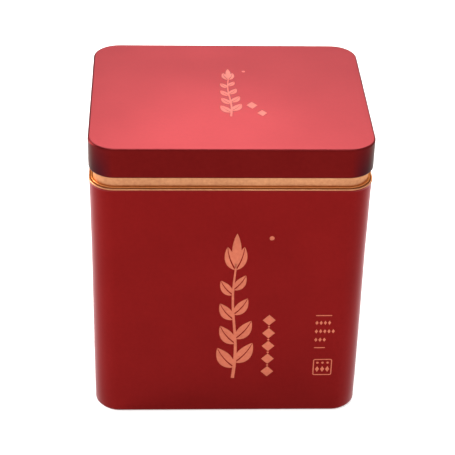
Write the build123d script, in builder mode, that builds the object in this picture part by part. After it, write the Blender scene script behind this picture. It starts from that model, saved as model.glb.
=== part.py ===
"""A rectangular tea tin with rounded corners: a slip lid over a gold neck, and a plug lid with a pull inside.

Everything is rolled or pressed from one gauge of tinplate. The origin is the middle of the footprint, on the
surface that the tin stands on. +Z is up, +X is the width, and the printed front faces -Y. Millimetres.

Each ring-shaped piece is a strip of sheet seen in section and swept round the rounded rectangle of the plan.
A section is a bend table: a plain number is a flat length, and a pair is a bend, as a radius and an angle.
"""

import os
from math import cos, radians, sin

from build123d import *

# Driving dimensions
body_width = 90.0
body_depth = 73.5
corner_radius = 8.3
sheet = 0.25  # gauge of the tinplate
rim_top = 89.5  # top of the body's folded rim
lid_bottom = 93.5
lid_top = 104.0
lid_overhang = 0.5  # lid's skirt outside the body's wall
neck_inset = 1.25  # neck's wall inside the body's wall
slack = 0.02  # room between two pressed layers
plug_clearance = 0.2  # plug lid's wall inside the mouth

half = sheet / 2
wall_x = body_width / 2 - half  # middle of the body's wall, on the right-hand side


def rounded_outline(width, depth, radius):
    """A rounded rectangle, run anticlockwise from the middle of the right-hand side."""
    x = width / 2
    y = depth / 2
    with BuildLine() as outline:
        side = Line((x, 0), (x, y - radius))
        for end in ((radius - x, y), (-x, radius - y), (x - radius, -y), (x, 0)):
            corner = JernArc(start=side @ 1, tangent=side % 1, radius=radius, arc_size=90)
            side = Line(corner @ 1, end)
    return outline.wire()


def plan(inset=0.0):
    """The outline of the tin's body, moved inwards."""
    return rounded_outline(body_width - 2 * inset, body_depth - 2 * inset, corner_radius - inset)


def bent_strip(start, heading, bend_table, thickness=sheet):
    """The section of a strip of sheet, drawn from its middle line. Positive angles turn left."""
    with BuildLine() as middle:
        point = Vector(start)
        direction = Vector(heading)
        for entry in bend_table:
            if isinstance(entry, tuple):
                radius, angle = entry
                step = JernArc(start=point, tangent=direction, radius=radius, arc_size=angle)
            else:
                step = Line(point, point + direction * entry)
            point = step @ 1
            direction = step % 1
    trace(middle.edges(), line_width=thickness)


def joggle(shift, angle):
    """Two opposite bends that shift a strip sideways: the radius of each, and the length that they take up."""
    radius = shift / (2 * (1 - cos(radians(angle))))
    return radius, 2 * radius * sin(radians(angle))


# Body: foot rolled inwards and up, wall, then a rim bulged outwards and folded down inside.
foot_radius = 1.0
foot_land = 0.6  # flat strip that touches the table
foot_leg_top = 2.9
foot_bend_z = foot_radius + half
foot_leg_x = wall_x - 2 * foot_radius - foot_land
bulge_out = 0.15
bulge_angle = 30
bulge_radius, bulge_rise = joggle(bulge_out, bulge_angle)
rim_radius = 0.25
rim_bend_z = rim_top - half - rim_radius
rim_face = 0.2
rim_leg = 2.2
rim_leg_x = wall_x + bulge_out - 2 * rim_radius
seam_width = 5.0
seam_thickness = 0.5
seam_bottom = 6.0
seam_top = 80.0
seam_groove = 0.2
seam_groove_depth = 0.1

with BuildPart() as body_shell:
    with BuildSketch(Plane.XZ):
        bent_strip(
            (foot_leg_x, foot_leg_top),
            (0, -1),
            [
                foot_leg_top - foot_bend_z,
                (foot_radius, 90),
                foot_land,
                (foot_radius, 90),
                rim_bend_z - rim_face - bulge_rise - foot_bend_z,
                (bulge_radius, -bulge_angle),
                (bulge_radius, bulge_angle),
                rim_face,
                (rim_radius, 180),
                rim_leg,
            ],
        )
    sweep(path=plan())
    # The lock seam of the rolled sheet: layers folded flat on the inside, a fine groove outside.
    back_face = body_depth / 2
    with Locations((0, back_face - sheet, (seam_bottom + seam_top) / 2)):
        Box(
            seam_width,
            seam_thickness,
            seam_top - seam_bottom,
            align=(Align.CENTER, Align.MAX, Align.CENTER),
        )
    with Locations((seam_width / 2, back_face, foot_bend_z)):
        Box(
            seam_groove,
            2 * seam_groove_depth,
            rim_bend_z - rim_face - bulge_rise - foot_bend_z,
            align=(Align.CENTER, Align.CENTER, Align.MIN),
            mode=Mode.SUBTRACT,
        )
body_shell.part.label = "body_shell"

# Bottom: a recessed pan whose edge hooks over the body's upturned foot.
hook_radius = sheet + slack
hook_length = 1.2
pan_z = 1.6  # middle of the sheet at the edge of the pan
pan_bend = 0.6
pan_land = 1.0
pan_step = 0.5
step_angle = 45
pan_step_radius, pan_step_run = joggle(pan_step, step_angle)
pan_inset = 7.0

with BuildPart() as body_bottom:
    hook_x = foot_leg_x + hook_radius
    pan_wall_x = foot_leg_x - hook_radius
    with BuildSketch(Plane.XZ):
        bent_strip(
            (hook_x, foot_leg_top - hook_length),
            (0, 1),
            [
                hook_length,
                (hook_radius, 180),
                foot_leg_top - pan_z - pan_bend,
                (pan_bend, -90),
                pan_land,
                (pan_step_radius, -step_angle),
                (pan_step_radius, step_angle),
                pan_wall_x - pan_bend - pan_land - pan_step_run - (body_width / 2 - pan_inset),
            ],
        )
    sweep(path=plan())
    with BuildSketch(Plane.XY.offset(pan_z + pan_step - half)):
        make_face(plan(pan_inset))
    extrude(amount=sheet)
body_bottom.part.label = "body_bottom"

# Neck: foot spread out under the rim's inner leg, a shoulder above the rim, wall, folded mouth.
neck_foot_z = 82.5
neck_foot_x = wall_x - sheet - slack
neck_grip_x = rim_leg_x - sheet - slack
neck_spread_radius, neck_spread_rise = joggle(neck_foot_x - neck_grip_x, step_angle)
neck_spread_top = rim_bend_z - rim_leg - 0.1
shoulder_top = rim_top + 0.55
shoulder_bend = 0.175
neck_wall_x = body_width / 2 - neck_inset - half
mouth_top = lid_top - 2 * sheet - 0.1
mouth_radius = 0.16
mouth_bend_z = mouth_top - half - mouth_radius
mouth_leg = 3.0
neck_lap_width = 4.0

with BuildPart() as neck_collar:
    shoulder_z = shoulder_top - half
    with BuildSketch(Plane.XZ):
        bent_strip(
            (neck_foot_x, neck_foot_z),
            (0, 1),
            [
                neck_spread_top - neck_spread_rise - neck_foot_z,
                (neck_spread_radius, step_angle),
                (neck_spread_radius, -step_angle),
                shoulder_z - shoulder_bend - neck_spread_top,
                (shoulder_bend, 90),
                neck_grip_x - neck_wall_x - 2 * shoulder_bend,
                (shoulder_bend, -90),
                mouth_bend_z - shoulder_z - shoulder_bend,
                (mouth_radius, 180),
                mouth_leg,
            ],
        )
    sweep(path=plan())
    # The strip's ends lap behind the wall at the back.
    lap_bottom = shoulder_top
    lap_top = mouth_bend_z - mouth_leg - 0.3
    with Locations((0, body_depth / 2 - neck_inset - sheet, lap_bottom)):
        Box(
            neck_lap_width,
            sheet,
            lap_top - lap_bottom,
            align=(Align.CENTER, Align.MAX, Align.MIN),
        )
neck_collar.part.label = "neck_collar"

# Plug lid: a flange over the mouth, a wall down inside it and a panel with a raised field.
flange_z = mouth_top + slack + half
plug_wall_x = neck_wall_x - 2 * mouth_radius - half - plug_clearance - half
plug_bend = 0.4
plug_depth = 7.6
plug_foot_bend = 0.8
plug_land = 1.2
plug_step = 0.6
plug_step_radius, plug_step_run = joggle(plug_step, step_angle)
plug_inset = 6.8
plug_panel_z = flange_z - plug_depth

with BuildPart() as inner_lid:
    flange_x = body_width / 2 - neck_inset
    with BuildSketch(Plane.XZ):
        bent_strip(
            (flange_x, flange_z),
            (-1, 0),
            [
                flange_x - plug_wall_x - plug_bend,
                (plug_bend, 90),
                plug_depth - plug_bend - plug_foot_bend,
                (plug_foot_bend, -90),
                plug_land,
                (plug_step_radius, -step_angle),
                (plug_step_radius, step_angle),
                plug_wall_x - plug_foot_bend - plug_land - plug_step_run - (body_width / 2 - plug_inset),
            ],
        )
    sweep(path=plan())
    with BuildSketch(Plane.XY.offset(plug_panel_z + plug_step - half)):
        make_face(plan(plug_inset))
    extrude(amount=sheet)
inner_lid.part.label = "inner_lid"

# Pull: a strap that bridges the middle of the plug lid, on two welded feet.
strap_width = 11.0
strap_thickness = 0.4
strap_foot = 5.0
strap_bend = 0.8
strap_height = 6.0
strap_span = 15.0
strap_z = plug_panel_z + plug_step + half + slack + strap_thickness / 2

with BuildPart() as pull_strap:
    strap_length = strap_span + 2 * strap_foot + 4 * strap_bend
    with BuildSketch(Plane.XZ):
        bent_strip(
            (-strap_length / 2, strap_z),
            (1, 0),
            [
                strap_foot,
                (strap_bend, 90),
                strap_height - 2 * strap_bend,
                (strap_bend, -90),
                strap_span,
                (strap_bend, -90),
                strap_height - 2 * strap_bend,
                (strap_bend, 90),
                strap_foot,
            ],
            strap_thickness,
        )
    extrude(amount=strap_width / 2, both=True)
    foot_corners = pull_strap.edges().filter_by(Axis.Z).group_by(Axis.X)
    fillet(foot_corners[0] + foot_corners[-1], 2.0)
pull_strap.part.label = "pull_strap"

# Lid: pressed in one piece, with its lower edge curled inwards to ride on the neck.
lid_edge_radius = 0.45
curl_radius = 0.55
curl_angle = 280
lid_inset = 6.0

with BuildPart() as lid_shell:
    lid_x = body_width / 2 + lid_overhang - half
    lid_z = lid_top - half
    with BuildSketch(Plane.XZ):
        bent_strip(
            (body_width / 2 - lid_inset, lid_z),
            (1, 0),
            [
                lid_x - lid_edge_radius - (body_width / 2 - lid_inset),
                (lid_edge_radius, -90),
                lid_z - lid_edge_radius - (lid_bottom + half + curl_radius),
                (curl_radius, -curl_angle),
            ],
        )
    sweep(path=plan())
    with BuildSketch(Plane.XY.offset(lid_z - half)):
        make_face(plan(lid_inset))
    extrude(amount=sheet)
lid_shell.part.label = "lid_shell"

os.makedirs("parts", exist_ok=True)
export_step(body_shell.part, "parts/body_shell.step")
export_step(body_bottom.part, "parts/body_bottom.step")
export_step(neck_collar.part, "parts/neck_collar.step")
export_step(inner_lid.part, "parts/inner_lid.step")
export_step(pull_strap.part, "parts/pull_strap.step")
export_step(lid_shell.part, "parts/lid_shell.step")
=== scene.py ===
"""The looks of a rectangular tea tin: red lacquered lid and body, gold neck, gold plug lid inside.

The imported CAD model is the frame. Each CAD piece is replaced by a finer mesh of the same bent
sheet, which is drawn in section from a bend table and swept round the tin's rounded plan. In a
section, d is the distance outwards from the centres of the corner arcs, and z is the height.
Lengths are in metres, and the angles of constants, bend tables and leaves are in degrees.
"""

from math import ceil, copysign, cos, pi, radians, sin

import bmesh
import bpy
from mathutils import Matrix, Vector, noise


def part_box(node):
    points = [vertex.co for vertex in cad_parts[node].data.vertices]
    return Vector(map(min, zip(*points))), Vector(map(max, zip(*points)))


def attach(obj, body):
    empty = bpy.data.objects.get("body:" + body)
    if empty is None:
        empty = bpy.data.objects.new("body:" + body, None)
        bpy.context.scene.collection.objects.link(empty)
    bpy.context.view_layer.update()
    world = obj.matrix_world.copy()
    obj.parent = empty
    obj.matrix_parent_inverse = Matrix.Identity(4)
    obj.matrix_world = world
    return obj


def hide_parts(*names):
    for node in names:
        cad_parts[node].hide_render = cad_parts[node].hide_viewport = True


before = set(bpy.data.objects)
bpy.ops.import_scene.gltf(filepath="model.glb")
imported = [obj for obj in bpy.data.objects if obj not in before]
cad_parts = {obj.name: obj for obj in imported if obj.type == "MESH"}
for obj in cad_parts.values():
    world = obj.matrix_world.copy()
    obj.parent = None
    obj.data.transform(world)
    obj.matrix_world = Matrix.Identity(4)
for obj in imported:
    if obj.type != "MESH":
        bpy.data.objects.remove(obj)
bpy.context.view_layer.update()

# Sizes that the frame holds
mm = 0.001
shell_low, shell_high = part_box("body_shell")
neck_low, neck_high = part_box("neck_collar")
lid_low, lid_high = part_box("lid_shell")
plug_low, plug_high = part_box("inner_lid")
pan_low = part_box("body_bottom")[0]
strap_low, strap_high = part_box("pull_strap")

# Sheet-metal sizes that all the pieces share
sheet = 0.25 * mm
half = sheet / 2
slack = 0.02 * mm
corner_radius = 8.3 * mm
rim_bulge = 0.15 * mm
step_angle = 45

half_width = shell_high.x - rim_bulge
half_depth = shell_high.y - rim_bulge
core_x = half_width - corner_radius  # centres of the corner arcs
core_y = half_depth - corner_radius
wall_d = corner_radius - half  # middle of the body's wall
neck_wall_d = plug_high.x - core_x - half  # the plug lid's flange is flush with the neck

# How finely the sheet is divided
bend_step = 12.0
bend_least = 3  # steps in a bend
corner_step = 5.0
flat_step = 2.5 * mm
side_step = 1.6 * mm
support = 0.06 * mm  # keeps flats flat beside a bend
merge_distance = 1e-7


# Sections --------------------------------------------------------------------------------------


def joggle(shift, angle):
    """Two opposite bends that shift a strip sideways: the radius of each, and their length."""
    radius = shift / (2 * (1 - cos(radians(angle))))
    return radius, 2 * radius * sin(radians(angle))


def bent_strip(start, heading, bend_table, longest=flat_step):
    """Points (d, z, direction in radians) along the middle of a strip. In the bend table, a number
    is the length of a flat, and a pair is the radius and the angle of a bend to the left."""
    d, z = start
    angle = radians(heading)
    points = [(d, z, angle)]
    for entry in bend_table:
        if isinstance(entry, tuple):
            radius, turn = entry[0], radians(entry[1])
            side = copysign(1, turn)
            centre_d = d - side * radius * sin(angle)
            centre_z = z + side * radius * cos(angle)
            steps = max(bend_least, ceil(abs(entry[1]) / bend_step))
            for i in range(1, steps + 1):
                a = angle + turn * i / steps
                bend_d = centre_d + side * radius * sin(a)
                points.append((bend_d, centre_z - side * radius * cos(a), a))
            angle += turn
        else:
            stops = [entry]
            if entry > 4 * support:
                parts = max(1, ceil((entry - 2 * support) / longest))
                inner = (entry - 2 * support) / parts
                stops = [support + inner * i for i in range(parts + 1)] + [entry]
            for stop in stops:
                points.append((d + stop * cos(angle), z + stop * sin(angle), angle))
        d, z = points[-1][:2]
    return points


def beside(point, offset):
    """The point that lies offset to the left of a point of the strip's middle."""
    d, z, angle = point
    return (d - offset * sin(angle), z + offset * cos(angle))


def edge_round(point, at_end):
    """The rounded cut edge of the sheet, from left to right at its end, and back at its start."""
    d, z, angle = point
    first = angle + (pi / 2 if at_end else -pi / 2)
    turns = [first - pi * i / 4 for i in (1, 2, 3)]
    return [(d + half * cos(a), z + half * sin(a)) for a in turns]


# Plan ------------------------------------------------------------------------------------------


def spread(low, high, step):
    """Evenly spaced values from low to high, at most a step apart."""
    count = ceil((high - low) / step)
    return [low + (high - low) * i / count for i in range(count + 1)]


side_xs = spread(-core_x, core_x, side_step)
side_ys = spread(-core_y, core_y, side_step)


def stations(back_xs=side_xs):
    """Places round the plan: a point of the core rectangle and the direction outwards there."""
    sides = [
        [(core_x, y) for y in side_ys],
        [(x, core_y) for x in reversed(back_xs)],
        [(-core_x, y) for y in reversed(side_ys)],
        [(x, -core_y) for x in side_xs],
    ]
    places = []
    corner_steps = round(90 / corner_step)
    for quarter, side in enumerate(sides):
        facing = quarter * pi / 2
        places += [(x, y, cos(facing), sin(facing)) for x, y in side]
        for i in range(1, corner_steps):
            a = facing + radians(i * corner_step)
            places.append((*side[-1], cos(a), sin(a)))
    return places


def smooth(value):
    """0 below 0 and 1 above 1, with a smooth rise between."""
    value = min(1.0, max(0.0, value))
    return value * value * (3 - 2 * value)


# Unevenness of thin sheet ----------------------------------------------------------------------

wave_length = 34 * mm
wall_wave = 0.06 * mm
wall_crown = 0.12 * mm
panel_wave = 0.03 * mm
panel_crown = 0.16 * mm
panel_crown_power = 1.5
calm = 12 * mm  # over this distance from an edge, the unevenness fades out
body_seed = 3.0
lid_seed = 11.0
swell_start = 1.2 * mm  # above the tin's foot
spread_low = 62 * mm
spread_power = 1.3
side_spread = 0.36 * mm
front_spread = 0.12 * mm
tuck_depth = 0.28 * mm
tuck_height = 4.0 * mm


def uneven(x, y, z, seed):
    return noise.noise(Vector((x, y, z)) / wave_length + Vector((seed, 0, 0)))


def wall_swell(x, y, z, low, high, seed):
    """How far a flat wall between two heights stands out. Corners and edges hold their shape."""
    from_corner = abs(abs(x) - core_x) if abs(y) >= core_y else abs(abs(y) - core_y)
    along = min(from_corner, calm) / calm
    height = min(z - low, high - z) / calm
    hold = smooth(along) * smooth(height)
    return hold * (wall_crown + wall_wave * uneven(x, y, z, seed))


def spread_at(x, z):
    """How far the neck that is pushed into the body spreads both of them there: most of all at the
    rim, and more at the two sides than at the front and the back."""
    if z < shell_high.z:
        share = max(0.0, (z - spread_low) / (shell_high.z - spread_low)) ** spread_power
    else:
        share = max(0.0, (neck_high.z - z) / (neck_high.z - shell_high.z))
    sideways = min(1.0, max(0.0, (abs(x) - core_x) / corner_radius))
    return share * (front_spread + (side_spread - front_spread) * sideways)


def body_swell(x, y, z):
    wall = wall_swell(x, y, z, shell_low.z + swell_start, neck_low.z, body_seed)
    return wall + spread_at(x, z)


def foot_tuck(x, y, z):
    """How far the foot is rounded in at the corners of the plan."""
    past_core = max(0.0, min(abs(x) - core_x, abs(y) - core_y))
    corner = past_core / (corner_radius * cos(radians(45)))
    return tuck_depth * smooth(corner) * max(0.0, 1 - z / tuck_height) ** 2


def lid_swell(x, y):
    """How far the lid's flat top stands up there: a low crown over all of it, with slight waves."""
    crown = 1.0
    hold = 1.0
    for place, reach in ((x, core_x), (y, core_y)):
        inward = max(0.0, 1 - abs(place) / reach)
        crown *= sin(pi / 2 * inward) ** panel_crown_power
        hold *= smooth(inward * reach / calm)
    return crown * panel_crown + hold * panel_wave * uneven(x, y, 0, lid_seed)


def no_swell(*place):
    return 0.0


# Meshes ----------------------------------------------------------------------------------------


def finish_piece(name, bm, materials, body, replaced=(), rounded=True):
    """Makes the object of a mesh, smooth shaded where it is rounded, and hands it to the frame."""
    bmesh.ops.remove_doubles(bm, verts=bm.verts, dist=merge_distance)
    bmesh.ops.recalc_face_normals(bm, faces=bm.faces)
    mesh = bpy.data.meshes.new(name)
    bm.to_mesh(mesh)
    bm.free()
    if rounded:
        mesh.shade_smooth()
    for material in materials:
        mesh.materials.append(material)
    piece = bpy.data.objects.new(name, mesh)
    bpy.context.scene.collection.objects.link(piece)
    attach(piece, body)
    if replaced:
        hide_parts(*replaced)
    return piece


def one_paint(side, d, z):
    return 0


def sheet_mesh(middle, places, paint, has_panel, wall_shift=no_swell, panel_shift=no_swell):
    """Sweeps a strip of sheet round the plan. With a panel, the strip starts at the corner centres,
    and a grid fills the core rectangle. paint gives a face's material index from the side of the
    sheet that it is on, left, right or edge, and its place in the section."""
    left = [(*beside(point, half), "left") for point in middle]
    right = [(*beside(point, -half), "right") for point in reversed(middle)]
    loop = left + [(*p, "edge") for p in edge_round(middle[-1], True)] + right
    if not has_panel:
        loop += [(*p, "edge") for p in edge_round(middle[0], False)]
    bm = bmesh.new()
    rings = []
    for x, y, nx, ny in places:
        ring = []
        for d, z, side in loop:
            out = d + wall_shift(x + nx * d, y + ny * d, z)
            lift = panel_shift(x + nx * d, y + ny * d) if has_panel else 0.0
            ring.append(bm.verts.new((x + nx * out, y + ny * out, z + lift)))
        rings.append(ring)
    count = len(loop)
    spans = count - 1 if has_panel else count
    for s, ring in enumerate(rings):
        following = rings[(s + 1) % len(rings)]
        for i in range(spans):
            j = (i + 1) % count
            face = bm.faces.new((ring[i], following[i], following[j], ring[j]))
            side = loop[i][2] if loop[i][2] == loop[j][2] else "edge"
            middle_d = (loop[i][0] + loop[j][0]) / 2
            middle_z = (loop[i][1] + loop[j][1]) / 2
            face.material_index = paint(side, middle_d, middle_z)
    if has_panel:
        for z, side in ((left[0][1], "left"), (right[-1][1], "right")):
            fill_core(bm, z, paint(side, 0.0, z), panel_shift)
    return bm


def fill_core(bm, z, material_index, panel_shift):
    """A grid of quads over the core rectangle."""
    rows = [[bm.verts.new((x, y, z + panel_shift(x, y))) for x in side_xs] for y in side_ys]
    for face in skin_faces(bm, rows):
        face.material_index = material_index


def skin_faces(bm, rows):
    """Quads between the points of neighbouring rows."""
    return [
        bm.faces.new((row[i], row[i + 1], following[i + 1], following[i]))
        for row, following in zip(rows, rows[1:])
        for i in range(len(row) - 1)
    ]


def side_faces(bm, upper, lower):
    """Quads that join two skins along the first and the last point of their rows."""
    for i in (0, -1):
        for k in range(len(upper) - 1):
            bm.faces.new((upper[k][i], upper[k + 1][i], lower[k + 1][i], lower[k][i]))


def end_faces(bm, upper, lower):
    """Quads that join two skins along their first and their last row."""
    for k in (0, -1):
        for i in range(len(upper[0]) - 1):
            bm.faces.new((upper[k][i], upper[k][i + 1], lower[k][i + 1], lower[k][i]))


# Materials -------------------------------------------------------------------------------------

usual_noise = (0.3, 0.7)  # most of a noise texture's values lie between these
fine_scale = 2600  # noise scales, per metre
fine_detail = 4.0
fine_height = 0.02 * mm
fleck_scale = 900
fleck_detail = 3.0
cloud_detail = 2.0
cloud_share = 0.45  # of the tone, where the rest is flecks
cloud_height = 0.2 * mm
cloud_bump = 0.04
tone_ends = (0.36, 0.64)
gloss_play = 0.015
coat_roughness = 0.25
# Painted shade in the skirt's corners: where on the wall it lies, and how it weakens towards the
# top
painted_shade_corner_ends = (0.10, 0.50)  # of the product of the normal's x and y, which is 0.5 at a diagonal
painted_shade_fade = (9 * mm, 1 * mm)  # below the top
painted_shade_at_top = 0.35


def new_material(name):
    material = bpy.data.materials.new(name)
    material.use_nodes = True
    return material, material.node_tree.nodes, material.node_tree.links


def noise_node(nodes, links, scale, detail, stretch=(1, 1, 1)):
    """Noise in the piece's own coordinates. Its size is about one over the scale, in metres."""
    place = nodes.new("ShaderNodeTexCoord")
    mapping = nodes.new("ShaderNodeMapping")
    mapping.inputs["Scale"].default_value = stretch
    texture = nodes.new("ShaderNodeTexNoise")
    texture.inputs["Scale"].default_value = scale
    texture.inputs["Detail"].default_value = detail
    links.new(place.outputs["Object"], mapping.inputs["Vector"])
    links.new(mapping.outputs["Vector"], texture.inputs["Vector"])
    return texture.outputs["Fac"]


def math_node(nodes, links, operation, *sources):
    node = nodes.new("ShaderNodeMath")
    node.operation = operation
    for socket, source in zip(node.inputs, sources):
        links.new(source, socket)
    return node.outputs["Value"]


def ramp_node(nodes, links, source, ends, colours):
    """Turns a value between two ends into a colour between two colours."""
    ramp = nodes.new("ShaderNodeValToRGB")
    for element, position, colour in zip(ramp.color_ramp.elements, ends, colours):
        element.position = position
        element.color = (*colour, 1)
    links.new(source, ramp.inputs["Fac"])
    return ramp.outputs["Color"]


def range_node(nodes, links, source, low, high, ends=usual_noise):
    """Maps a value between two ends to one from low to high."""
    node = nodes.new("ShaderNodeMapRange")
    node.inputs["From Min"].default_value = ends[0]
    node.inputs["From Max"].default_value = ends[1]
    node.inputs["To Min"].default_value = low
    node.inputs["To Max"].default_value = high
    links.new(source, node.inputs["Value"])
    return node.outputs["Result"]


def bump_node(nodes, links, height, strength, distance, before=None):
    bump = nodes.new("ShaderNodeBump")
    bump.inputs["Strength"].default_value = strength
    bump.inputs["Distance"].default_value = distance
    links.new(height, bump.inputs["Height"])
    if before is not None:
        links.new(before, bump.inputs["Normal"])
    return bump.outputs["Normal"]


def painted_corner_shade(nodes, links, colour, shade, top_z):
    """Mixes painted shade into the walls' corners: a dark colour that stands in for the darker
    reflection there, full low on the wall and weaker towards the top.
    """
    geometry = nodes.new("ShaderNodeNewGeometry")
    place = nodes.new("ShaderNodeTexCoord")
    direction = nodes.new("ShaderNodeSeparateXYZ")
    position = nodes.new("ShaderNodeSeparateXYZ")
    links.new(geometry.outputs["Normal"], direction.inputs["Vector"])
    links.new(place.outputs["Object"], position.inputs["Vector"])
    diagonal = math_node(nodes, links, "MULTIPLY", direction.outputs["X"], direction.outputs["Y"])
    diagonal = math_node(nodes, links, "ABSOLUTE", diagonal)
    corner = range_node(nodes, links, diagonal, 0.0, 1.0, painted_shade_corner_ends)
    heights = [top_z - fade for fade in painted_shade_fade]
    depth = range_node(nodes, links, position.outputs["Z"], 1.0, painted_shade_at_top, heights)
    mix = nodes.new("ShaderNodeMix")
    mix.data_type = "RGBA"
    links.new(math_node(nodes, links, "MULTIPLY", corner, depth), mix.inputs["Factor"])
    links.new(colour, mix.inputs["A"])
    mix.inputs["B"].default_value = (*shade, 1)
    return mix.outputs["Result"]


def coated_metal(
    name, dark, light, roughness, grain,
    metallic=1.0, coat=0.0, edge=(1, 1, 1), shine=0.5, cloud=70, stretch=(1, 1, 1), shade=None,
):
    """Lacquer or bare metal with fine grain, soft clouds of tone and a slightly uneven gloss. edge
    tints it at a grazing angle, and shade is the colour of a painted shade in the corners, which
    stands in for a darker reflection, with the top's height."""
    material, nodes, links = new_material(name)
    shader = nodes["Principled BSDF"]
    fine = noise_node(nodes, links, fine_scale, fine_detail, stretch)
    flecks = noise_node(nodes, links, fleck_scale, fleck_detail, stretch)
    clouds = noise_node(nodes, links, cloud, cloud_detail)
    mix = nodes.new("ShaderNodeMix")
    mix.inputs["Factor"].default_value = cloud_share
    links.new(flecks, mix.inputs["A"])
    links.new(clouds, mix.inputs["B"])
    tone = ramp_node(nodes, links, mix.outputs["Result"], tone_ends, (dark, light))
    # Painted shade: a darker colour mixed into the corners
    if shade:
        tone = painted_corner_shade(nodes, links, tone, *shade)
    links.new(tone, shader.inputs["Base Color"])
    gloss = range_node(nodes, links, flecks, roughness - gloss_play, roughness + gloss_play)
    links.new(gloss, shader.inputs["Roughness"])
    normal = bump_node(nodes, links, fine, grain, fine_height)
    normal = bump_node(nodes, links, clouds, cloud_bump, cloud_height, normal)
    links.new(normal, shader.inputs["Normal"])
    shader.inputs["Metallic"].default_value = metallic
    shader.inputs["Coat Weight"].default_value = coat
    shader.inputs["Coat Roughness"].default_value = coat_roughness
    shader.inputs["Specular Tint"].default_value = (*edge, 1)
    shader.inputs["Specular IOR Level"].default_value = shine
    return material


body_lacquer = coated_metal(
    "body_lacquer", dark=(0.130, 0.0035, 0.0034), light=(0.146, 0.0043, 0.0041),
    roughness=0.32, grain=0.14, coat=0.05, edge=(1, 0.80, 0.81),
)
lid_lacquer = coated_metal(
    "lid_lacquer", dark=(0.097, 0.0100, 0.0108), light=(0.109, 0.0122, 0.0130),
    roughness=0.32, grain=0.05, edge=(1, 0.66, 0.68),
)
# The skirt is the same sheet as the lid's top, but its lacquer is a deeper red: painted shade. Its
# corners get more painted shade, which stands in for a darker reflection.
skirt_lacquer_painted_shade = coated_metal(
    "skirt_lacquer_painted_shade", dark=(0.091, 0.0041, 0.0040), light=(0.103, 0.0051, 0.0048),
    roughness=0.32, grain=0.14, edge=(0.62, 0.66, 0.64),
    shade=((0.036, 0.0050, 0.0080), lid_high.z),
)
gold_lacquer = coated_metal(
    "gold_lacquer", dark=(0.356, 0.153, 0.073), light=(0.478, 0.221, 0.108),
    roughness=0.42, grain=0.14, edge=(1, 0.80, 0.60),
)
gold_fold = coated_metal(
    "gold_fold", dark=(0.420, 0.140, 0.042), light=(0.480, 0.170, 0.056),
    roughness=0.42, grain=0.08, edge=(1, 0.72, 0.40),
)
gold_ink = coated_metal(
    "gold_ink", dark=(0.395, 0.093, 0.050), light=(0.475, 0.122, 0.065),
    roughness=0.50, grain=0.10, metallic=0.25, shine=0.2,
)
lid_ink = coated_metal(
    "lid_ink", dark=(0.340, 0.083, 0.059), light=(0.400, 0.101, 0.073),
    roughness=0.50, grain=0.10, metallic=0.25, shine=0.2,
)
tinplate = coated_metal(
    "tinplate", dark=(0.46, 0.45, 0.43), light=(0.56, 0.55, 0.53),
    roughness=0.32, grain=0.05, cloud=40, stretch=(0.08, 1, 1),
)


# Body shell ------------------------------------------------------------------------------------

foot_radius = 1.0 * mm
foot_land = 0.6 * mm
foot_leg_top = 2.9 * mm
foot_bend_z = foot_radius + half
foot_leg_d = wall_d - 2 * foot_radius - foot_land
bulge_angle = 30
bulge_radius, bulge_rise = joggle(rim_bulge, bulge_angle)
rim_radius = 0.25 * mm
rim_face = 0.2 * mm
rim_bend_z = shell_high.z - half - rim_radius
rim_leg = 2.2 * mm
rim_leg_d = wall_d + rim_bulge - 2 * rim_radius
print_top = rim_bend_z + 0.02 * mm  # the red print stops here, and the gold base coat shows above
groove_x = 2.5 * mm
groove_half = 0.1 * mm
groove_reach = 0.15 * mm  # points nearer than this to its middle are in the groove
groove_depth = 0.12 * mm
seam_half = 3.0 * mm
seam_slope = 0.5 * mm
seam_rise = 0.05 * mm
seam_columns = (-3.5 * mm, -3.0 * mm, 3.4 * mm, 3.9 * mm)  # points at the seam's two slopes
column_gap = 0.3 * mm  # a usual column nearer than this to a seam's is left out
line_columns = (-2.5, -1, 0, 1, 2.5)  # points across a narrow line, in half widths


def body_shell():
    middle = bent_strip(
        (foot_leg_d, foot_leg_top),
        -90,
        [
            foot_leg_top - foot_bend_z,
            (foot_radius, 90),
            foot_land,
            (foot_radius, 90),
            rim_bend_z - rim_face - bulge_rise - foot_bend_z,
            (bulge_radius, -bulge_angle),
            (bulge_radius, bulge_angle),
            rim_face,
            (rim_radius, 180),
            rim_leg,
        ],
    )
    seam_xs = [groove_x + k * groove_half for k in line_columns] + list(seam_columns)
    clear_xs = [x for x in side_xs if all(abs(x - seam_x) > column_gap for seam_x in seam_xs)]

    def paint(side, d, z):
        return 0 if side == "right" and z < print_top else 1

    def shift(x, y, z):
        swell = body_swell(x, y, z) - foot_tuck(x, y, z)
        if y < core_y or not foot_bend_z < z < print_top:
            return swell
        if abs(x - groove_x) < groove_reach:
            swell -= groove_depth
        return swell + seam_rise * smooth((seam_half + seam_slope - abs(x)) / seam_slope)

    bm = sheet_mesh(middle, stations(sorted(clear_xs + seam_xs)), paint, False, shift)
    paints = [body_lacquer, gold_lacquer]
    return finish_piece("body_shell_sheet", bm, paints, "tin", ["body_shell"])


# Neck ------------------------------------------------------------------------------------------

shoulder_rise = 0.44 * mm
shoulder_bend = 0.175 * mm
shoulder_z = shell_high.z + shoulder_rise - half
fold_top = shoulder_z + 1.3 * shoulder_bend  # the shoulder's tone ends here
mouth_radius = 0.16 * mm
mouth_leg = 3.0 * mm
mouth_bend_z = neck_high.z - half - mouth_radius
neck_foot_d = wall_d - sheet - slack
neck_grip_d = rim_leg_d - sheet - slack
neck_spread_radius, neck_spread_rise = joggle(neck_foot_d - neck_grip_d, step_angle)
neck_leg_gap = 0.1 * mm
neck_spread_top = rim_bend_z - rim_leg - neck_leg_gap
lap_half = 0.12 * mm
lap_reach = 0.06 * mm  # points nearer than this to its middle are in the lap's line
lap_depth = 0.1 * mm
lap_clear = 0.6 * mm  # a usual column nearer than this is left out


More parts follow.
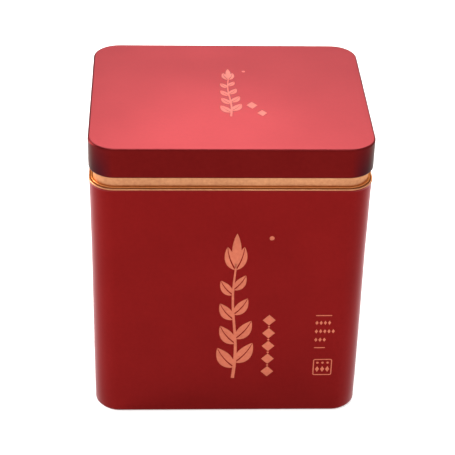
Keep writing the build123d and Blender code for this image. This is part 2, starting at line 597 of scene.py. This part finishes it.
def neck_collar():
    middle = bent_strip(
        (neck_foot_d, neck_low.z),
        90,
        [
            neck_spread_top - neck_spread_rise - neck_low.z,
            (neck_spread_radius, step_angle),
            (neck_spread_radius, -step_angle),
            shoulder_z - shoulder_bend - neck_spread_top,
            (shoulder_bend, 90),
            neck_grip_d - neck_wall_d - 2 * shoulder_bend,
            (shoulder_bend, -90),
            mouth_bend_z - shoulder_z - shoulder_bend,
            (mouth_radius, 180),
            mouth_leg,
        ],
    )
    lap_xs = [k * lap_half for k in line_columns]
    clear_xs = [x for x in side_xs if abs(x) > lap_clear]

    def paint(side, d, z):
        return 1 if d > neck_wall_d and neck_spread_top < z < fold_top else 0

    def shift(x, y, z):
        lap = y > core_y and abs(x) < lap_reach and shoulder_z < z < mouth_bend_z
        return spread_at(x, z) - (lap_depth if lap else 0.0)

    bm = sheet_mesh(middle, stations(sorted(clear_xs + lap_xs)), paint, False, shift)
    paints = [gold_lacquer, gold_fold]
    return finish_piece("neck_collar_sheet", bm, paints, "tin", ["neck_collar"])


# Slip lid --------------------------------------------------------------------------------------

lid_edge_radius = 0.45 * mm
top_tone_depth = 0.15 * mm  # how far the top's tone reaches down the rounded edge; below it the skirt is painted shade
curl_radius = 0.55 * mm
curl_angle = 280


def slip_lid():
    lid_d = lid_high.x - half - core_x
    lid_z = lid_high.z - half
    middle = bent_strip(
        (0.0, lid_z),
        0,
        [
            lid_d - lid_edge_radius,
            (lid_edge_radius, -90),
            lid_z - lid_edge_radius - (lid_low.z + half + curl_radius),
            (curl_radius, -curl_angle),
        ],
    )

    def paint(side, d, z):
        if side != "left":
            return 2
        # Below the top's tone, the outside takes the skirt's deeper red, which is painted shade
        return 0 if z > lid_high.z - top_tone_depth else 1

    bm = sheet_mesh(middle, stations(), paint, True, panel_shift=lid_swell)
    paints = [lid_lacquer, skirt_lacquer_painted_shade, gold_lacquer]
    return finish_piece("lid_shell_sheet", bm, paints, "slip_lid", ["lid_shell"])


# Plug lid and its pull -------------------------------------------------------------------------

plug_clearance = 0.2 * mm
plug_bend = 0.4 * mm
plug_foot_bend = 0.8 * mm
plug_land = 1.2 * mm
plug_step = 0.6 * mm
plug_step_radius, plug_step_run = joggle(plug_step, step_angle)


def plug_lid():
    flange_z = plug_high.z - half
    panel_z = plug_low.z + half
    flange_d = plug_high.x - core_x
    wall = neck_wall_d - 2 * mouth_radius - half - plug_clearance - half
    middle = bent_strip(
        (0.0, panel_z + plug_step),
        0,
        [
            wall - plug_foot_bend - plug_land - plug_step_run,
            (plug_step_radius, -step_angle),
            (plug_step_radius, step_angle),
            plug_land,
            (plug_foot_bend, 90),
            flange_z - panel_z - plug_bend - plug_foot_bend,
            (plug_bend, -90),
            flange_d - half - wall - plug_bend,
        ],
    )
    bm = sheet_mesh(middle, stations(), one_paint, True)
    paints = [gold_lacquer]
    return finish_piece("inner_lid_sheet", bm, paints, "plug_lid", ["inner_lid"])


strap_thickness = 0.4 * mm
strap_bend = 0.8 * mm
strap_foot = 5.0 * mm
strap_corner = 2.0 * mm
strap_step = 0.25 * mm
strap_column = 0.5 * mm
strap_edge = 0.1 * mm  # distance of the columns of points beside the strap's edges
strap_bevel = 0.08 * mm
strap_bevel_angle = 50
sliver = 1e-6


def pull_strap():
    """A bent strap with rounded feet, built as a grid along its bends and across its width."""
    length = strap_high.x - strap_low.x
    half_across = (strap_high.y - strap_low.y) / 2
    rise = strap_high.z - strap_low.z - strap_thickness
    span = length - 2 * strap_foot - 4 * strap_bend
    leg = rise - 2 * strap_bend
    middle = bent_strip(
        (strap_low.x, strap_low.z + strap_thickness / 2),
        0,
        [
            strap_foot,
            (strap_bend, 90),
            leg,
            (strap_bend, -90),
            span,
            (strap_bend, -90),
            leg,
            (strap_bend, 90),
            strap_foot,
        ],
        strap_step,
    )
    inner = half_across - 3 * strap_edge
    across = [-half_across, -half_across + strap_edge]
    across += spread(-inner, inner, strap_column)
    across += [half_across - strap_edge, half_across]
    bm = bmesh.new()
    skins = []
    for offset in (strap_thickness / 2, -strap_thickness / 2):
        skin = []
        for point in middle:
            along, z = beside(point, offset)
            row = []
            for y in across:
                inward = max(0.0, abs(y) - (half_across - strap_corner))
                reach = length / 2 - strap_corner + (strap_corner**2 - inward**2) ** 0.5
                row.append(bm.verts.new((max(-reach, min(reach, along)), y, z)))
            skin.append(row)
        skins.append(skin)
    for skin in skins:
        skin_faces(bm, skin)
    side_faces(bm, *skins)
    end_faces(bm, *skins)
    bmesh.ops.dissolve_degenerate(bm, edges=bm.edges, dist=sliver)
    paints = [tinplate]
    piece = finish_piece("pull_strap_sheet", bm, paints, "plug_lid", ["pull_strap"])
    bevel = piece.modifiers.new("edges", "BEVEL")
    bevel.width = strap_bevel
    bevel.segments = 2
    bevel.angle_limit = radians(strap_bevel_angle)
    return piece


# Bottom ----------------------------------------------------------------------------------------

hook_radius = sheet + slack
hook_length = 1.2 * mm
pan_bend = 0.6 * mm
pan_land = 1.0 * mm
pan_step = 0.5 * mm
pan_step_radius, pan_step_run = joggle(pan_step, step_angle)


def bottom_pan():
    pan_z = pan_low.z + half
    pan_wall_d = foot_leg_d - hook_radius
    middle = bent_strip(
        (0.0, pan_z + pan_step),
        0,
        [
            pan_wall_d - pan_bend - pan_land - pan_step_run,
            (pan_step_radius, -step_angle),
            (pan_step_radius, step_angle),
            pan_land,
            (pan_bend, 90),
            foot_leg_top - pan_z - pan_bend,
            (hook_radius, -180),
            hook_length,
        ],
    )
    bm = sheet_mesh(middle, stations(), one_paint, True)
    return finish_piece("body_bottom_sheet", bm, [tinplate], "tin", ["body_bottom"])


# Print -----------------------------------------------------------------------------------------
# A generic tea sprig, lozenges, dots and a small label, in dull gold ink on the lid and the front.
# On a printed face, u is to the right, and v is up or to the back.

ink_rise = 0.02 * mm
ink_sink = 0.04 * mm
ink_step = 0.006 * mm  # between one stroke and another that crosses it

dot_steps = 12
outline_steps = 6  # at each corner
leaf_steps = 16
leaf_slit = 0.002 * mm  # keeps the two halves of a leaf apart where it has no vein
leaf_pivot = 0.3  # a drooping leaf turns about this share of its length
leaf_widest = 0.85  # a power: below 1, the widest place is nearer to the root
leaf_fullness = 0.8  # a power: below 1, the leaf is fuller than a sine
vein_taper = 0.6

stem_steps = 30
stem_top = 0.80  # heights on the sprig are shares of its height, and widths shares of its width
stem_sway = 0.045
stem_sway_turn = 2.6 * pi  # in radians, over the sprig's whole height
stem_width, stem_taper = 0.075, 0.045
pair_heights = (0.08, 0.25, 0.42, 0.59)
pair_shrink = 0.10
pair_offset = 0.035
pair_lean, pair_droop, pair_length, pair_width = 47, -16, 0.66, 0.33
top_leaf_height = 0.76
top_leaf_lean, top_leaf_droop, top_leaf_length, top_leaf_width = 27, -14, 0.62, 0.24
bud_length, bud_width = 0.20, 0.20
vein_width = 0.035

rule_width = 0.35 * mm
rules = ((29.3, 34.7, 40.4), (29.3, 33.0, 27.1))  # left, right and height, in mm
text_rows = ((4, 37.4), (5, 33.9), (3, 30.4))  # count and height, in mm
text_left, text_pitch = 29.75, 1.42  # in mm
panel_u, panel_v, panel_pitch = 32.55, 18.85, 1.75  # in mm
panel_dot_v, panel_lozenge_v = 20.7, 18.0  # in mm
chain_u, chain_low, chain_pitch, chain_link = 13.7, 17.2, 5.35, 2.67  # in mm
chain_count = 5


def on_front(u, v, rise):
    """A point of the front wall."""
    y = -half_depth
    return (u, y - body_swell(u, y, v) - rise, v)


def on_lid(u, v, rise):
    """A point of the lid's top."""
    return (u, v, lid_high.z + lid_swell(u, v) + rise)


def ink(bm, rows, place, closed=False, level=0):
    """A thin layer of ink over a grid of points (u, v). A closed shape ends where it starts."""
    rises = (ink_rise + level * ink_step, -ink_sink)
    skins = [[[bm.verts.new(place(u, v, rise)) for u, v in row] for row in rows] for rise in rises]
    for skin in skins:
        skin_faces(bm, skin)
    side_faces(bm, *skins)
    if not closed:
        end_faces(bm, *skins)


def stroke(bm, points, widths, place):
    """A line of ink through points, with a width at each."""
    rows = []
    for i, (u, v) in enumerate(points):
        before, after = points[max(0, i - 1)], points[min(len(points) - 1, i + 1)]
        along = Vector((after[0] - before[0], after[1] - before[1])).normalized()
        across = Vector((-along.y, along.x)) * widths[i] / 2
        rows.append([(u + across.x, v + across.y), (u - across.x, v - across.y)])
    ink(bm, rows, place)


def leaf(bm, root, lean, length, width, droop, vein, place, level=1):
    """A pointed leaf in two halves, with a bare vein between them. lean is from straight up."""
    for side in (-1, 1):
        rows = []
        for i in range(leaf_steps + 1):
            t = i / leaf_steps
            angle = radians(lean) + radians(droop) * (t - leaf_pivot)
            along = Vector((sin(angle), cos(angle)))
            across = Vector((cos(angle), -sin(angle))) * side
            centre = Vector(root) + along * length * t
            full = 0.0
            if 0 < t < 1:
                full = width / 2 * sin(pi * t**leaf_widest) ** leaf_fullness
            inner = max(leaf_slit, min(full, vein / 2 * (1 - vein_taper * t)))
            reach = [inner + (max(inner, full) - inner) * k / 2 for k in range(3)]
            rows.append([tuple(centre + across * r) for r in reach])
        ink(bm, rows, place, level=level)


def lozenge(bm, u, v, width, height, place):
    rows = [(u - width / 2, 0), (u, height / 2), (u + width / 2, 0)]
    ink(bm, [[(a, v + b), (a, v - b)] for a, b in rows], place)


def dot(bm, u, v, radius, place):
    turns = [pi * i / dot_steps for i in range(dot_steps + 1)]
    rows = [[(u - radius * cos(a), v + radius * sin(a) * k) for k in (1, 0, -1)] for a in turns]
    ink(bm, rows, place)


def frame_outline(bm, u, v, width, height, corner, line, place):
    """The outline of a rectangle with rounded corners."""
    rows = []
    for quarter, (a, b) in enumerate(((1, 1), (-1, 1), (-1, -1), (1, -1))):
        centre_u = u + a * (width / 2 - corner)
        centre_v = v + b * (height / 2 - corner)
        for i in range(outline_steps + 1):
            turn = quarter * pi / 2 + pi / 2 * i / outline_steps
            radii = (corner, corner - line)
            rows.append([(centre_u + r * cos(turn), centre_v + r * sin(turn)) for r in radii])
    ink(bm, rows + rows[:1], place, closed=True)


def sprig(bm, u, low, high, width, place):
    """A tea sprig that fills a height and a width: a stem, pairs of leaves and a bud on top."""
    tall = high - low
    vein = vein_width * width

    def at(share):
        return (u + stem_sway * width * sin(stem_sway_turn * share), low + tall * share)

    shares = [stem_top * i / stem_steps for i in range(stem_steps + 1)]
    widths = [width * (stem_width - stem_taper * t) for t in shares]
    stroke(bm, [at(t) for t in shares], widths, place)
    for i, share in enumerate(pair_heights):
        size = width * (1 - pair_shrink * i)
        for side in (-1, 1):
            root = at(share + (pair_offset if side > 0 else 0.0))
            long, wide = pair_length * size, pair_width * size
            leaf(bm, root, side * pair_lean, long, wide, side * pair_droop, vein, place)
    for side in (-1, 1):
        long, wide = top_leaf_length * width, top_leaf_width * width
        lean, droop = side * top_leaf_lean, side * top_leaf_droop
        leaf(bm, at(top_leaf_height), lean, long, wide, droop, vein, place, 2)
    leaf(bm, at(stem_top), 0, bud_length * tall, bud_width * width, 0, 0.0, place, 3)


def front_print():
    bm = bmesh.new()
    sprig(bm, u=2.0 * mm, low=14.4 * mm, high=72.9 * mm, width=15.0 * mm, place=on_front)
    dot(bm, u=13.4 * mm, v=71.1 * mm, radius=0.8 * mm, place=on_front)
    for i in range(chain_count):
        v = (chain_low + chain_pitch * i) * mm
        lozenge(bm, chain_u * mm, v, width=4.3 * mm, height=4.3 * mm, place=on_front)
        if i < chain_count - 1:
            dot(bm, chain_u * mm, v + chain_link * mm, radius=0.35 * mm, place=on_front)
    return finish_piece("front_print", bm, [gold_ink], "tin", rounded=False)


def label_print():
    bm = bmesh.new()
    for left, right, v in rules:
        stroke(bm, [(left * mm, v * mm), (right * mm, v * mm)], [rule_width] * 2, on_front)
    for count, v in text_rows:
        for i in range(count):
            u = (text_left + text_pitch * i) * mm
            lozenge(bm, u, v * mm, width=1.05 * mm, height=1.7 * mm, place=on_front)
    frame_outline(
        bm, panel_u * mm, panel_v * mm,
        width=6.5 * mm, height=6.8 * mm, corner=0.7 * mm, line=0.35 * mm, place=on_front,
    )
    for i in (-1, 0, 1):
        u = (panel_u + panel_pitch * i) * mm
        dot(bm, u, panel_dot_v * mm, radius=0.42 * mm, place=on_front)
        lozenge(bm, u, panel_lozenge_v * mm, width=1.4 * mm, height=2.4 * mm, place=on_front)
    return finish_piece("label_print", bm, [gold_ink], "tin", rounded=False)


def lid_print():
    bm = bmesh.new()
    sprig(bm, u=0.2 * mm, low=-15.5 * mm, high=18.2 * mm, width=8.6 * mm, place=on_lid)
    dot(bm, u=5.6 * mm, v=16.4 * mm, radius=0.55 * mm, place=on_lid)
    lozenge(bm, 7.3 * mm, -8.0 * mm, width=3.6 * mm, height=4.6 * mm, place=on_lid)
    lozenge(bm, 10.4 * mm, -13.2 * mm, width=3.2 * mm, height=4.0 * mm, place=on_lid)
    return finish_piece("lid_print", bm, [lid_ink], "slip_lid", rounded=False)


# Stage -----------------------------------------------------------------------------------------

floor_reach = 12.0
floor_colour = (0.86, 0.855, 0.85, 1)
floor_roughness = 0.9
floor_glow = (0.36, 0.90)  # near the tin and far from it, where the floor would else go grey
floor_glow_ends = (0.8, 2.2)  # distances from the tin
world_glow = (0.95, 0.20)  # near the horizon and overhead
world_glow_ends = (0.13, 0.24)  # of the direction's z

light_aim = (0, 0, 0.06)
wash = (1.00, 0.70, 4.4)  # the soft lights that keep the tin's sides and back from going dark
softboxes = [  # name, place, width, height and watts
    ("back_left", (-0.235, 0.85, 0.75), 0.235, 0.25, 0.4),
    ("back_middle", (0, 0.85, 0.75), 0.235, 0.25, 3.0),
    ("back_right", (0.235, 0.85, 0.75), 0.235, 0.25, 1.85),
    ("back_lower", (0.04, 0.90, 0.62), 0.56, 0.25, 1.2),
    ("overhead_wide", (0, 0.05, 0.75), 0.50, 0.40, 1.4),
    ("overhead_near", (0, -0.08, 0.50), 0.25, 0.25, 0.75),
    ("left_fill", (-0.85, 0.35, 0.25), 0.40, 0.40, 11.2),
    ("front_soft", (0, -1.20, 0.85), 1.60, 0.90, 7.0),
    ("left_soft", (-1.20, -0.10, 0.75), *wash),
    ("left_front_soft", (-1, -1.00, 0.85), *wash),
    ("left_back_soft", (-1, 0.95, 0.85), *wash),
    ("right_soft", (1.20, -0.10, 0.75), *wash),
    ("right_front_soft", (1, -1.00, 0.85), *wash),
    ("right_back_soft", (1, 0.95, 0.85), *wash),
]

# The camera, as fitted to the photograph's outlines
sensor_width = 36.0  # in mm, as is the lens
lens = 123.05
near_clip = 0.01
camera_place = (-0.02299, -0.45728, 0.34196)
camera_heading = -2.982
camera_down = 32.360
camera_roll = 1.600


def floor():
    bm = bmesh.new()
    bmesh.ops.create_grid(bm, x_segments=1, y_segments=1, size=floor_reach)
    mesh = bpy.data.meshes.new("floor")
    bm.to_mesh(mesh)
    bm.free()
    material, nodes, links = new_material("pale_floor")
    shader = nodes["Principled BSDF"]
    shader.inputs["Base Color"].default_value = floor_colour
    shader.inputs["Roughness"].default_value = floor_roughness
    shader.inputs["Emission Color"].default_value = (1, 1, 1, 1)
    place = nodes.new("ShaderNodeTexCoord")
    distance = nodes.new("ShaderNodeVectorMath")
    distance.operation = "LENGTH"
    links.new(place.outputs["Object"], distance.inputs[0])
    glow = range_node(nodes, links, distance.outputs["Value"], *floor_glow, floor_glow_ends)
    links.new(glow, shader.inputs["Emission Strength"])
    mesh.materials.append(material)
    plane = bpy.data.objects.new("floor", mesh)
    bpy.context.scene.collection.objects.link(plane)


def softbox(name, place, width, height, watts):
    light = bpy.data.lights.new(name, "AREA")
    light.shape = "RECTANGLE"
    light.size = width
    light.size_y = height
    light.energy = watts
    lamp = bpy.data.objects.new(name, light)
    lamp.location = place
    towards = Vector(light_aim) - Vector(place)
    lamp.rotation_euler = towards.to_track_quat("-Z", "Y").to_euler()
    lamp.visible_camera = False
    bpy.context.scene.collection.objects.link(lamp)


def studio():
    world = bpy.data.worlds.new("studio")
    world.use_nodes = True
    nodes, links = world.node_tree.nodes, world.node_tree.links
    background = nodes["Background"]
    background.inputs["Color"].default_value = (1, 1, 1, 1)
    direction = nodes.new("ShaderNodeTexCoord")
    height = nodes.new("ShaderNodeSeparateXYZ")
    links.new(direction.outputs["Generated"], height.inputs["Vector"])
    glow = range_node(nodes, links, height.outputs["Z"], *world_glow, world_glow_ends)
    links.new(glow, background.inputs["Strength"])
    bpy.context.scene.world = world
    bpy.context.scene.view_settings.view_transform = "Standard"
    for box in softboxes:
        softbox(*box)


def camera():
    data = bpy.data.cameras.new("camera")
    data.sensor_width = sensor_width
    data.lens = lens
    data.clip_start = near_clip
    viewer = bpy.data.objects.new("camera", data)
    heading = Matrix.Rotation(radians(camera_heading), 4, "Z")
    pitch = Matrix.Rotation(radians(90 - camera_down), 4, "X")
    roll = Matrix.Rotation(radians(camera_roll), 4, "Z")
    viewer.matrix_world = Matrix.Translation(camera_place) @ heading @ pitch @ roll
    bpy.context.scene.collection.objects.link(viewer)
    bpy.context.scene.camera = viewer


body_shell()
neck_collar()
slip_lid()
plug_lid()
pull_strap()
bottom_pan()
front_print()
label_print()
lid_print()
floor()
studio()
camera()
